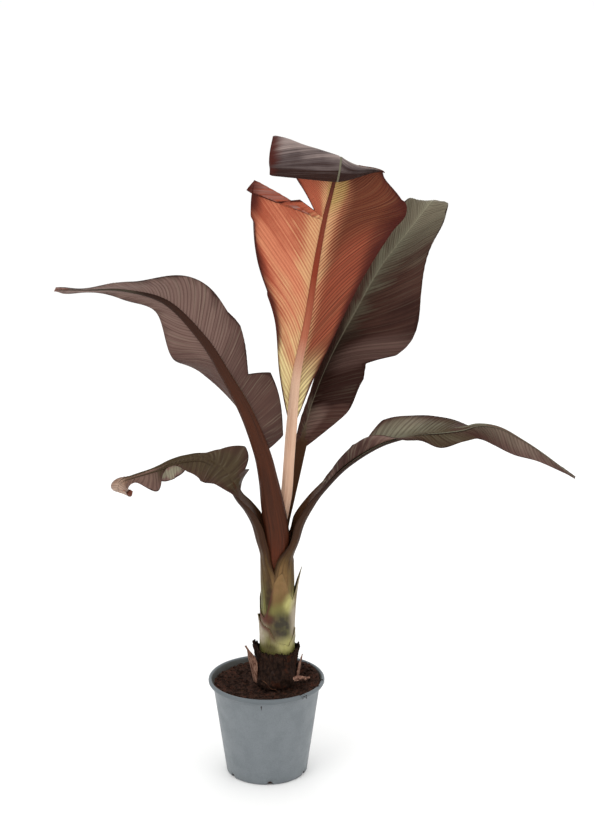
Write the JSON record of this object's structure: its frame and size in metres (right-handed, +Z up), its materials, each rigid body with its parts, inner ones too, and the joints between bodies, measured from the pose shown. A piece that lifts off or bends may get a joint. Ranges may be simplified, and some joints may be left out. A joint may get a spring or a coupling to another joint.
{
  "type": "potted banana plant",
  "caption": "Young red-leaved banana plant in a round plastic nursery pot: a short sheathed stem, arching dark leaves and an upright red leaf with a rolled tip.",
  "frame": {"origin": "centre of the pot's flat underside", "axes": "+Z up along the stem, +X to the right and +Y away from someone who faces the plant's front"},
  "size_m": [0.7928, 0.3731, 1.0539],
  "materials": {
    "pot_plastic": "satin, faintly mottled",
    "peat": "loose, moist and matt",
    "crown_skin": "knobby, earthy and matt",
    "stem_skin": "smooth waxy sheaths",
    "stalk_dark": "smooth, satin",
    "stalk_olive": "smooth, satin",
    "stalk_pale": "smooth, satin",
    "leaf_dark": "finely veined, satin",
    "leaf_red": "finely veined, satin",
    "dry_sheath": "dry and papery",
    "dry_scale": "dry and fibrous"
  },
  "bodies": {
    "root": {"pot": "pot_plastic", "potting_soil": "peat", "root_crown": "crown_skin", "pseudostem": "stem_skin", "old_sheath_right": "dry_sheath", "old_sheath_left": "dry_sheath", "crown_scale_left": "dry_scale", "crown_scale_right": "dry_scale", "petiole_upper_left": "stalk_dark", "petiole_centre": "stalk_pale", "petiole_back_right": "stalk_dark", "petiole_lower_left": "stalk_olive", "petiole_lower_right": "stalk_olive", "blade_upper_left": "leaf_dark", "blade_upper_left_tip": "leaf_dark", "blade_centre": "leaf_red", "blade_centre_tip": "leaf_red", "blade_back_right": "leaf_dark", "blade_lower_left": "leaf_dark", "blade_lower_left_tip": "leaf_dark", "blade_lower_right": "leaf_dark", "blade_lower_right_tip": "leaf_dark"}
  },
  "joints": []
}
